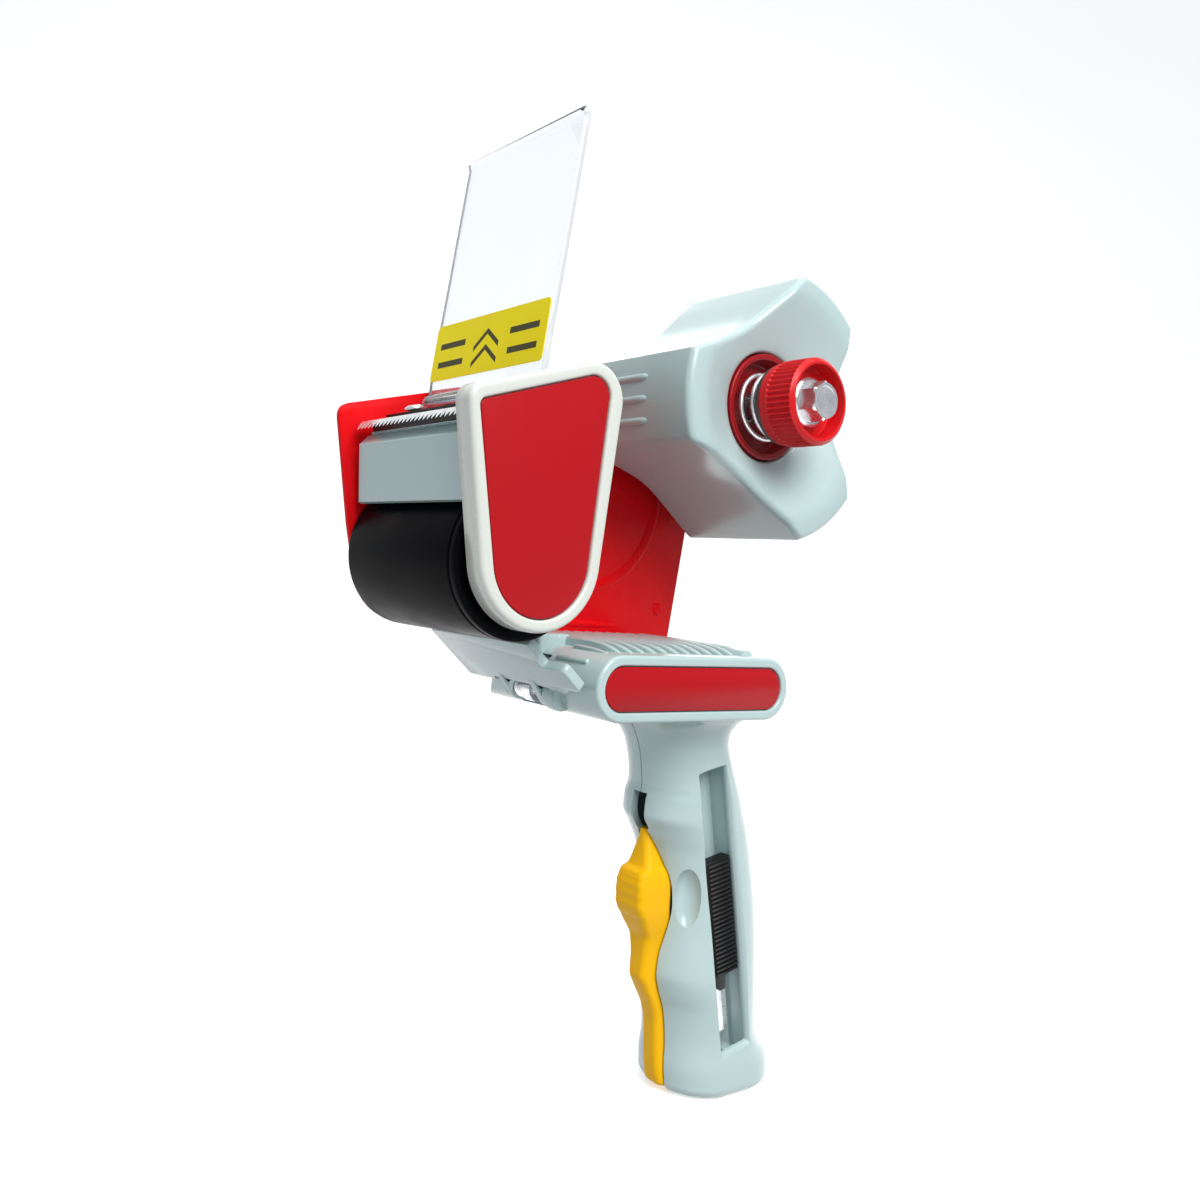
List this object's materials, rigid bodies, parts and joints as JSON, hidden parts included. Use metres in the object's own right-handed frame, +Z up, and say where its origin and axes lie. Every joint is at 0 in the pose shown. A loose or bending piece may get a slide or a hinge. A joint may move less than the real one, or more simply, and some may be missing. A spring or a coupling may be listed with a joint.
{
  "type": "packing tape dispenser",
  "caption": "Pistol-grip packing tape gun: roll hub with drag brake, rubber roller, toothed cutter under a flip-up guard, squeeze trigger and flap brake, and a knife in the grip.",
  "frame": {"origin": "centre of the hand grip, on the plane between its two shells, where the palm holds it", "axes": "+X to the open side where the tape roll goes on, -Y to the roller and blade, +Z up the grip and through the raised guard, square to the deck"},
  "size_m": [0.071, 0.1483, 0.2614],
  "materials": {
    "painted_red": "gloss",
    "grey_plastic": "cool light grey, semi-gloss",
    "pale_plastic": "warm light grey, semi-gloss",
    "red_inlay": "satin red",
    "red_plastic": "semi-gloss red",
    "yellow_plastic": "satin yellow",
    "yellow_label": "satin printed film",
    "black_plastic": "satin black",
    "black_rubber": "smooth black",
    "clear_plastic": "clear polished",
    "steel": "zinc plated and bare steel"
  },
  "bodies": {
    "frame": {"side_plate": "painted_red", "deck": "grey_plastic", "deck_inlay": "red_inlay", "head_housing": "grey_plastic", "near_cover": "pale_plastic", "cover_inlay": "red_inlay", "cover_screw_1": "steel", "cover_screw_2": "steel", "blade_holder": "black_plastic", "blade": "steel", "blade_clamp": "black_plastic", "blade_screw_1": "steel", "blade_screw_2": "steel", "shield_pin": "steel", "roller_axle": "steel", "axle_nut": "steel", "spindle_bolt": "steel", "hub_sleeve": "steel", "back_washer": "steel", "friction_disc": "black_plastic", "flap_pin": "steel", "flap_spring": "steel", "handle_near_shell": "grey_plastic", "handle_far_shell": "grey_plastic", "handle_screw_1": "steel", "handle_screw_2": "steel", "handle_screw_3": "steel", "deck_screw_1": "steel", "deck_screw_2": "steel", "head_screw_1": "steel", "head_screw_2": "steel", "trigger_pin": "steel", "trigger_spring": "steel"},
    "roller": {"roller_sleeve": "black_rubber", "roller_core": "black_plastic", "roller_bush_near": "black_plastic", "roller_bush_far": "black_plastic"},
    "hub": {"hub_body": "grey_plastic", "brake_cup": "red_plastic"},
    "brake_carrier": {"brake_washer": "steel", "brake_spring": "steel"},
    "brake_knob": {"brake_knob": "red_plastic", "knob_nut": "steel"},
    "shield": {"shield": "clear_plastic", "shield_label": "yellow_label"},
    "trigger": {"trigger": "yellow_plastic"},
    "brake_link": {"brake_link": "steel"},
    "brake_lever": {"brake_lever": "steel"},
    "brake_flap": {"brake_flap": "grey_plastic", "flap_pad": "black_rubber"},
    "knife": {"knife_slider": "black_plastic", "knife_carrier": "steel", "knife_blade": "steel"}
  },
  "joints": [
    {"name": "roller_spin", "type": "hinge", "parent": "frame", "child": "roller", "pos_m": [0, -0.091, 0.095], "axis": [1, 0, 0], "continuous": true},
    {"name": "hub_spin", "type": "hinge", "parent": "frame", "child": "hub", "pos_m": [0, 0.002, 0.146], "axis": [1, 0, 0], "continuous": true},
    {"name": "brake_turn", "type": "hinge", "parent": "brake_carrier", "child": "brake_knob", "pos_m": [0, 0.002, 0.146], "axis": [1, 0, 0], "range_deg": [-360, 360]},
    {"name": "brake_travel", "type": "slide", "parent": "frame", "child": "brake_carrier", "axis": [1, 0, 0], "range_m": [-0.00125, 0.00125], "deforming": ["brake_spring"]},
    {"name": "shield_flip", "type": "hinge", "parent": "frame", "child": "shield", "pos_m": [0, -0.0885, 0.1365], "axis": [1, 0, 0], "range_deg": [0, 90]},
    {"name": "trigger_squeeze", "type": "hinge", "parent": "frame", "child": "trigger", "pos_m": [0, -0.0045, -0.046], "axis": [-1, 0, 0], "range_deg": [0, 4.9], "stiffness_Nm_per_rad": 1.2, "springref_deg": -2.86, "deforming": ["trigger_spring"]},
    {"name": "brake_link_slide", "type": "slide", "parent": "frame", "child": "brake_link", "axis": [0, 1, 0], "range_m": [0, 0.00086]},
    {"name": "brake_lever_pivot", "type": "hinge", "parent": "frame", "child": "brake_lever", "pos_m": [0, -0.0645, 0.0615], "axis": [-1, 0, 0], "range_deg": [0, 7.6]},
    {"name": "flap_open", "type": "hinge", "parent": "brake_lever", "child": "brake_flap", "pos_m": [0, -0.0645, 0.0615], "axis": [1, 0, 0], "range_deg": [0, 35], "stiffness_Nm_per_rad": 0.05, "springref_deg": -11.46, "deforming": ["flap_spring"]},
    {"name": "knife_slide", "type": "slide", "parent": "frame", "child": "knife", "axis": [0, 0.1977, -0.9803], "range_m": [-0.0247, 0.0155]}
  ],
  "couplings": [
    {"joint": "brake_turn", "follows": "brake_travel", "rad_per_m": 5026.5},
    {"joint": "brake_link_slide", "follows": "trigger_squeeze", "m_per_rad": 0.0099},
    {"joint": "brake_lever_pivot", "follows": "trigger_squeeze", "ratio": 1.527}
  ]
}
